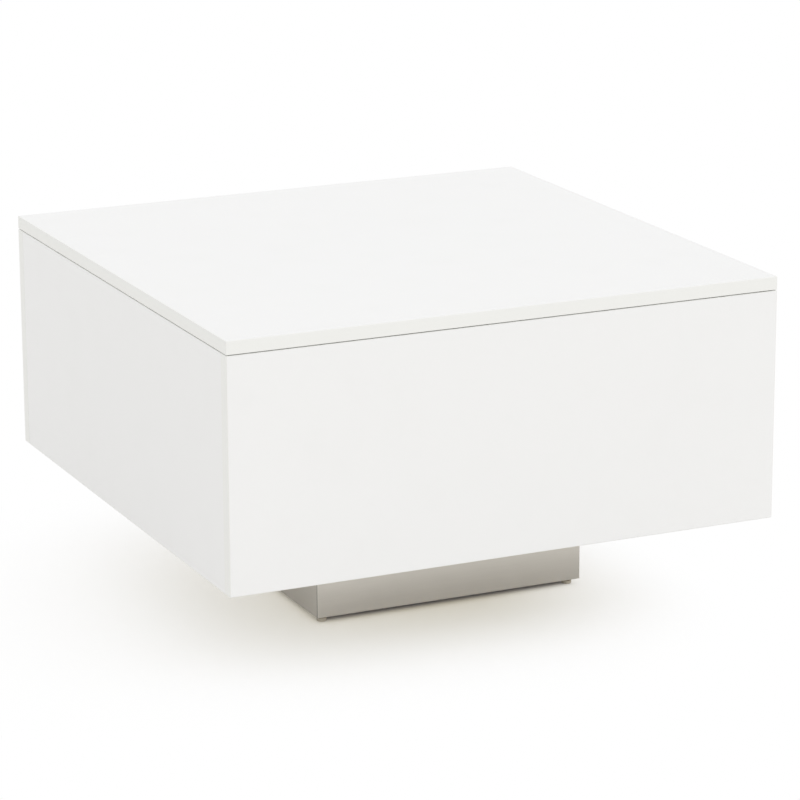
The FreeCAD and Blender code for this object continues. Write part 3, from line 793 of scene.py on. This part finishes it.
def set_turned(name, pick, slot, options, outline, key=None, **sizes):
    """Put a turned outline in the place of each solid of a CAD node, as one plain mesh object.

    A solid's axis is its longest or shortest side, as pick says. The outline takes its radius and length from
    the solid, and its other sizes from those given, or else from the settings of the same name.
    """
    tree = turned_tree(outline, key)
    solids = [TurnedSolid(corners, pick) for corners in corner_clusters(name)]
    points = bpy.data.meshes.new(name + "_points")
    points.from_pydata([solid.start for solid in solids], [], [])
    axis = points.attributes.new("axis", "FLOAT_VECTOR", "POINT")
    axis.data.foreach_set("vector", [part for solid in solids for part in solid.axis])
    host = linked(name + "_points", points)
    modifier = host.modifiers.new("Turned", "NODES")
    modifier.node_group = tree
    sizes.update(radius=solids[0].radius, length=solids[0].length, finish=Finishes.get(slot, options))
    for item in tree.interface.items_tree:
        if item.in_out == "INPUT" and item.socket_type != GEOMETRY:
            word = item.name.lower().replace(" ", "_")
            modifier[item.identifier] = sizes[word] if word in sizes else getattr(options, word)
    evaluated = host.evaluated_get(bpy.context.evaluated_depsgraph_get())
    mesh = bpy.data.meshes.new_from_object(evaluated)
    mesh.name = name + "_set"
    host.modifiers.remove(modifier)
    bpy.data.objects.remove(host)
    if not mesh.polygons:
        raise RuntimeError(name + " came out empty")
    built = welded(mesh)
    bmesh.ops.recalc_face_normals(built, faces=built.faces)
    stands_for(linked(name + "_set", closed(built, mesh)), name, slot)


def quarter(count):
    """Sine and cosine at even steps of a quarter turn."""
    angles = [step * math.pi / 2 / count for step in range(count + 1)]
    return [(math.sin(angle), math.cos(angle)) for angle in angles]


def domed(radius, rise):
    """A domed face from its crown on the axis to its rim."""
    return [(radius * sine, rise * (1 - cosine)) for sine, cosine in quarter(DOME_STEPS)]


def screw_outline(radius, shank_share, screw_rim, length):
    """A countersunk screw, from its head's face to its tip."""
    shank = radius * shank_share
    soft = screw_rim / 2
    return [
        (0.0, 0.0),
        (radius - soft, 0.0),
        (radius, soft),
        (radius, screw_rim),
        (shank, screw_rim + radius - shank),
        (shank, length - shank),
        (0.0, length),
    ]


def screw_key(radius, shank_share, key_width, key_length, key_depth):
    """Width, length and depth of a screw's cross key."""
    countersink = radius - radius * shank_share
    return radius * key_width, radius * key_length, countersink * key_depth


def cap_outline(radius, cap_height, cap_dome, cap_stub, length):
    """A cover cap with a domed face and a stub behind it."""
    rim_inset = cap_dome * 0.4
    rim_top = cap_dome * 0.75
    rim_foot = cap_dome * 1.15
    face = [(radius * share, cap_dome * share ** 2) for share in (0.0, 0.25, 0.5, 0.75)]
    rim = [(radius - rim_inset, rim_top), (radius, rim_foot), (radius, cap_height)]
    return face + rim + [(cap_stub, cap_height), (cap_stub, length), (0.0, length)]


def glide_outline(radius, glide_round, glide_neck, glide_neck_height, nail_pocket, nail_seat, length):
    """A glide from the nail's pocket over its rounded foot up to its neck."""
    disc = length - glide_neck_height
    soft = glide_round * 0.3
    arc = quarter(FOOT_STEPS)
    foot = [(radius - glide_round * (1 - sine), glide_round * (1 - cosine)) for sine, cosine in arc]
    return [(0.0, nail_seat), (nail_pocket, nail_seat), (nail_pocket, 0.0)] + foot + [
        (radius, disc - soft),
        (radius - soft, disc),
        (glide_neck, disc),
        (glide_neck, length),
        (0.0, length),
    ]


def nail_outline(radius, nail_head, nail_shank, length):
    """A nail from its head's face to its point."""
    soft = nail_head * 0.3
    point = nail_shank * 2
    return [
        (0.0, 0.0),
        (radius - soft, 0.0),
        (radius, soft),
        (radius, nail_head),
        (nail_shank, nail_head),
        (nail_shank, length - point),
        (0.0, length),
    ]


def pad_outline(radius, length):
    """A soft bumper from its flat crown down to its wide foot."""
    crown = radius * 0.66
    flank = radius - crown
    side = [(crown + flank * sine, length * (1 - cosine)) for sine, cosine in quarter(DOME_STEPS)]
    return [(0.0, 0.0)] + side + [(0.0, length)]


def rivet_outline(radius, rivet_head, stay_pin, length):
    """A rivet with a domed head at each end."""
    rise = rivet_head * 0.75
    near = domed(radius, rise) + [(radius, rivet_head), (stay_pin, rivet_head)]
    return near + [(across, length - up) for across, up in reversed(near)]


def stud_outline(
    radius, stud_head, stay_pin, stud_shoulder, stud_collar_radius, stud_collar, stud_thread, length
):
    """A stud from its domed head over shoulder and collar to its thread."""
    rise = stud_head * 0.6
    collar_start = stud_head + stud_shoulder
    collar_end = collar_start + stud_collar
    return domed(radius, rise) + [
        (radius, stud_head),
        (stay_pin, stud_head),
        (stay_pin, collar_start),
        (stud_collar_radius, collar_start),
        (stud_collar_radius, collar_end),
        (stud_thread, collar_end),
        (stud_thread, length),
        (0.0, length),
    ]


# Sheets and plates


def sheet_mesh(name, low, high, arris):
    """An upright thin sheet between two corners with rounded edges. Its cut ends take the second material."""
    built = bmesh.new()
    size = high - low
    bmesh.ops.create_cube(built, size=1.0, matrix=Matrix.LocRotScale((low + high) / 2, None, size))
    rounded(built, built.edges[:], arris)
    thin = list(size).index(min(size))
    lengthwise = 1 - thin
    mostly = 0.5
    for face in built.faces:
        face.material_index = int(abs(face.normal[lengthwise]) > mostly)
    return closed(built, bpy.data.meshes.new(name))


def has_room(edge, arris):
    """Whether a sharp edge has room for its rounding, which the rims of small holes lack."""
    beside = [other.calc_length() for corner in edge.verts for other in corner.link_edges]
    return edge.calc_face_angle(0.0) > CREASE_ANGLE and min(beside) > arris


def set_softened(piece_name, name, slot, arris, options):
    """Put a copy of a CAD node in its place, with its flats made whole and its sharp edges rounded."""
    built = welded(NODES[name].data)
    bmesh.ops.dissolve_limit(built, angle_limit=FLAT_ANGLE, verts=built.verts, edges=built.edges)
    rounded(built, [edge for edge in built.edges if has_room(edge, arris)], arris)
    bmesh.ops.remove_doubles(built, verts=built.verts, dist=WELD)
    mesh = closed(built, bpy.data.meshes.new(piece_name))
    mesh.materials.clear()
    mesh.materials.append(Finishes.get(slot, options))
    piece = linked(piece_name, mesh)
    flats = piece.modifiers.new("Flats", "WEIGHTED_NORMAL")
    flats.keep_sharp = True
    stands_for(piece, name, slot)


# Operators


class TableOperator:
    """Shared parts of the operators."""

    bl_options = {"REGISTER", "UNDO"}

    def settings(self, context):
        return context.scene.coffee_table


class COFFEE_TABLE_OT_boards(TableOperator, bpy.types.Operator):
    """Finish the lid and the box's boards in white melamine with edge bands"""

    bl_idname = "coffee_table.boards"
    bl_label = "Boards"

    def execute(self, context):
        options = self.settings(context).boards
        plans = {
            "lid": (("lid_board",), (0, 1)),
            "ends": (("front_board", "back_board"), (0, 2)),
            "sides": (("left_board", "right_board"), (2,)),
        }
        for label, (names, axes) in plans.items():
            low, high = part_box(names[0])
            band_low = Vector((-FAR, -FAR, -FAR))
            band_high = Vector((FAR, FAR, FAR))
            for axis in axes:
                band_low[axis] = low[axis]
                band_high[axis] = high[axis]
            dress(names, white_board("white_board_" + label, options, (band_low, band_high)))
        dress(("bottom_board",), white_board("white_board_floor", options))
        return {"FINISHED"}


class COFFEE_TABLE_OT_plinth(TableOperator, bpy.types.Operator):
    """Build the plinth's brushed facing sheets and finish its raw cores and blocks"""

    bl_idname = "coffee_table.plinth"
    bl_label = "Plinth"

    def execute(self, context):
        settings = self.settings(context)
        options = settings.plinth
        metal = brushed_facing(options)
        edge = facing_edge(options)
        for side in SIDES:
            name = "plinth_" + side + "_facing"
            mesh = sheet_mesh(name + "_sheet", *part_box(name), options.arris)
            mesh.materials.append(metal)
            mesh.materials.append(edge)
            stands_for(linked(name + "_sheet", mesh), name, "steel_facing")
        dress(["plinth_" + side + "_board" for side in SIDES], raw_core(options))
        fittings = settings.fittings
        set_softened("plinth_blocks", "plinth_corner_blocks", "beech", fittings.block_arris, fittings)
        return {"FINISHED"}


class COFFEE_TABLE_OT_screws(TableOperator, bpy.types.Operator):
    """Set every countersunk screw with its cross key"""

    bl_idname = "coffee_table.screws"
    bl_label = "Screws"

    def execute(self, context):
        options = self.settings(context).fittings
        for place in ("hinge_box", "hinge_lid", "stay_bracket", "plinth_block", "plinth_fixing"):
            set_turned(place + "_screws", max, "zinc", options, screw_outline, screw_key)
        return {"FINISHED"}


class COFFEE_TABLE_OT_caps(TableOperator, bpy.types.Operator):
    """Set the cover caps over the cams and the fixing screws"""

    bl_idname = "coffee_table.caps"
    bl_label = "Cover caps"

    def execute(self, context):
        options = self.settings(context).fittings
        set_turned("wall_cam_covers", min, "white_plastic", options, cap_outline)
        set_turned("plinth_fixing_covers", min, "white_plastic", options, cap_outline, cap_stub=0.0)
        return {"FINISHED"}


class COFFEE_TABLE_OT_glides(TableOperator, bpy.types.Operator):
    """Set the floor glides and the nails that hold them"""

    bl_idname = "coffee_table.glides"
    bl_label = "Glides"

    def execute(self, context):
        options = self.settings(context).fittings
        set_turned("floor_glides", min, "glide_plastic", options, glide_outline)
        set_turned("glide_nails", max, "zinc", options, nail_outline)
        return {"FINISHED"}


class COFFEE_TABLE_OT_bumpers(TableOperator, bpy.types.Operator):
    """Set the soft bumpers that carry the lid"""

    bl_idname = "coffee_table.bumpers"
    bl_label = "Bumpers"

    def execute(self, context):
        options = self.settings(context).fittings
        set_turned("lid_bumpers", min, "bumper_pad", options, pad_outline)
        return {"FINISHED"}


class COFFEE_TABLE_OT_fittings(TableOperator, bpy.types.Operator):
    """Finish the cams, bolts, dowels and the continuous hinge"""

    bl_idname = "coffee_table.fittings"
    bl_label = "Cams, dowels and hinge"

    def execute(self, context):
        options = self.settings(context).fittings
        zinc = ("wall_cams", "wall_cam_bolts", "bottom_cams", "bottom_cam_bolts")
        dress(zinc, Finishes.get("zinc", options))
        dress(("wall_dowels", "bottom_dowels"), Finishes.get("beech", options))
        dress(("hinge_box_leaf", "hinge_lid_leaf", "hinge_pin"), Finishes.get("nickel", options))
        return {"FINISHED"}


class COFFEE_TABLE_OT_stays(TableOperator, bpy.types.Operator):
    """Build the lid stays: slotted arms, brackets, rivets and studs"""

    bl_idname = "coffee_table.stays"
    bl_label = "Lid stays"

    def execute(self, context):
        options = self.settings(context).fittings
        for side in ("left", "right"):
            for part in ("stay_arm_", "stay_bracket_"):
                set_softened(part + side + "_plate", part + side, "nickel", options.plate_arris, options)
        set_turned("stay_rivets", min, "nickel", options, rivet_outline)
        set_turned("stay_studs", max, "nickel", options, stud_outline)
        return {"FINISHED"}


def camera_ray(tree):
    """One on rays straight from the camera."""
    return result(tree, "ShaderNodeLightPath", output="Is Camera Ray")


def seen_ray(tree):
    """One on rays that show a surface to the camera, straight or by gloss or glass."""
    path = node(tree, "ShaderNodeLightPath")
    seen = wire(tree, path, "Is Camera Ray") + wire(tree, path, "Is Glossy Ray")
    return (seen + wire(tree, path, "Is Transmission Ray")).clamped()


def either(tree, factor, first, second):
    """The first of two shaders, or the second where the factor is one."""
    return result(tree, "ShaderNodeMixShader", {0: factor, 1: first, 2: second})


class COFFEE_TABLE_OT_stage(TableOperator, bpy.types.Operator):
    """Lay the pale floor, light the scene and place the camera"""

    bl_idname = "coffee_table.stage"
    bl_label = "Stage"

    def execute(self, context):
        options = self.settings(context).stage
        self.lay_floor(options)
        self.light_dome(context, options)
        self.hang_lamp(options)
        self.place_camera(context, options)
        context.scene.view_settings.view_transform = "Standard"
        return {"FINISHED"}

    def lay_floor(self, options):
        """A floor that shows part of its shadow on white, and that the camera looks through from below."""
        half = options.floor_size / 2
        level = -options.floor_drop
        mesh = bpy.data.meshes.new("floor")
        corners = [(-half, -half, level), (half, -half, level), (half, half, level), (-half, half, level)]
        mesh.from_pydata(corners, [], [(0, 1, 2, 3)])
        material = bpy.data.materials.new("pale_floor")
        material.use_nodes = True
        tree = material.node_tree
        tree.nodes.remove(tree.nodes["Principled BSDF"])
        plain = result(tree, "ShaderNodeBsdfDiffuse", {"Color": options.floor_colour})
        share = self.shadow_share(tree, options)
        shaded = result(tree, "ShaderNodeBsdfDiffuse", {"Color": share})
        rest = result(tree, "ShaderNodeInvert", {"Color": share})
        lifted = result(tree, "ShaderNodeEmission", {"Color": rest})
        shown = result(tree, "ShaderNodeAddShader", {0: shaded, 1: lifted})
        above = either(tree, seen_ray(tree), plain, shown)
        from_below = result(tree, "ShaderNodeNewGeometry", output="Backfacing") * camera_ray(tree)
        surface = either(tree, from_below, above, result(tree, "ShaderNodeBsdfTransparent"))
        feed(tree, surface, tree.nodes["Material Output"].inputs["Surface"])
        material.cycles.emission_sampling = "NONE"
        mesh.materials.append(material)
        linked("floor", mesh)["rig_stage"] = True

    def shadow_share(self, tree, options):
        """How much of the shadow the camera sees: a soft oval, and all of it right under the plinth."""
        place = result(tree, "ShaderNodeTexCoord", output="Object")
        offset = vector_sum(tree, "SUBTRACT", place, options.shadow_centre)
        forth = vector_sum(tree, "DIVIDE", vector_sum(tree, "MAXIMUM", offset, ORIGIN), options.shadow_forth)
        back = vector_sum(tree, "DIVIDE", vector_sum(tree, "MINIMUM", offset, ORIGIN), options.shadow_back)
        both = vector_sum(tree, "ADD", forth, back)
        reach = result(tree, "ShaderNodeVectorMath", {0: both}, "Value", operation="LENGTH")
        oval = eased(tree, reach, none=1.0, full=0.0)
        x, y, _ = parted(tree, vector_sum(tree, "ABSOLUTE", place))
        past_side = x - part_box("plinth_right_facing")[1].x
        past_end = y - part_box("plinth_back_facing")[1].y
        past = sum_of(tree, "MAXIMUM", past_side, past_end)
        under = eased(tree, past, options.contact_start, options.contact_start - options.contact_fade)
        share = mixed(tree, oval, BLACK, options.shadow_tint)
        share = mixed(tree, under, share, WHITE)
        return mixed(tree, camera_ray(tree), WHITE, share)

    def light_dome(self, context, options):
        """Even light from all round, seen as plain white."""
        world = bpy.data.worlds.new("white_dome")
        context.scene.world = world
        world.use_nodes = True
        tree = world.node_tree
        light = tree.nodes["Background"]
        feed(tree, WHITE, light.inputs["Color"])
        feed(tree, options.dome_strength, light.inputs["Strength"])
        white = result(tree, "ShaderNodeBackground", {"Color": WHITE, "Strength": 1.0})
        surface = either(tree, seen_ray(tree), wire(tree, light), white)
        feed(tree, surface, tree.nodes["World Output"].inputs["Surface"])

    def hang_lamp(self, options):
        """A wide soft lamp in front, low and to the right."""
        lamp = bpy.data.lights.new("key_lamp", "SUN")
        lamp.energy = options.key_strength
        lamp.angle = options.key_spread
        holder = linked("key_lamp", lamp)
        towards = Vector((0.0, -1.0, 0.0))
        towards.rotate(Euler((-options.key_rise, 0.0, 0.0)))
        towards.rotate(Euler((0.0, 0.0, options.key_turn)))
        holder.rotation_mode = "QUATERNION"
        holder.rotation_quaternion = towards.to_track_quat("Z", "Y")

    def place_camera(self, context, options):
        """A camera at the photograph's angle."""
        data = bpy.data.cameras.new("camera")
        data.lens = options.camera_lens
        camera = linked("camera", data)
        camera.location = options.camera_place
        turn = Matrix.Rotation(-options.camera_yaw, 3, "Z")
        turn = turn @ Matrix.Rotation(math.pi / 2 - options.camera_pitch, 3, "X")
        turn = turn @ Matrix.Rotation(options.camera_roll, 3, "Z")
        camera.rotation_euler = turn.to_euler()
        context.scene.camera = camera


class COFFEE_TABLE_PT_sidebar(bpy.types.Panel):
    """Lists the pieces and their settings"""

    bl_idname = "COFFEE_TABLE_PT_sidebar"
    bl_label = "Coffee table"
    bl_space_type = "VIEW_3D"
    bl_region_type = "UI"
    bl_category = "Coffee table"

    def draw(self, context):
        settings = context.scene.coffee_table
        for operator in OPERATORS:
            self.layout.operator(operator.bl_idname)
        for part in CoffeeTable.__annotations__:
            box = self.layout.box()
            box.label(text=part.title())
            group = getattr(settings, part)
            for name in group.__annotations__:
                box.prop(group, name)


OPERATORS = (
    COFFEE_TABLE_OT_boards,
    COFFEE_TABLE_OT_plinth,
    COFFEE_TABLE_OT_screws,
    COFFEE_TABLE_OT_caps,
    COFFEE_TABLE_OT_glides,
    COFFEE_TABLE_OT_bumpers,
    COFFEE_TABLE_OT_fittings,
    COFFEE_TABLE_OT_stays,
    COFFEE_TABLE_OT_stage,
)
CLASSES = (
    BoardFinish, PlinthFinish, FittingSizes, StageSettings, CoffeeTable, *OPERATORS, COFFEE_TABLE_PT_sidebar,
)


def register():
    for cls in CLASSES:
        bpy.utils.register_class(cls)
    bpy.types.Scene.coffee_table = PointerProperty(type=CoffeeTable)


def unregister():
    del bpy.types.Scene.coffee_table
    for cls in reversed(CLASSES):
        bpy.utils.unregister_class(cls)


def main():
    register()
    bpy.ops.coffee_table.boards()
    bpy.ops.coffee_table.plinth()
    bpy.ops.coffee_table.screws()
    bpy.ops.coffee_table.caps()
    bpy.ops.coffee_table.glides()
    bpy.ops.coffee_table.bumpers()
    bpy.ops.coffee_table.fittings()
    bpy.ops.coffee_table.stays()
    bpy.ops.coffee_table.stage()
    boxes = {"cad": cad_box, "visual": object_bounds()}


if __name__ == "__main__":
    main()
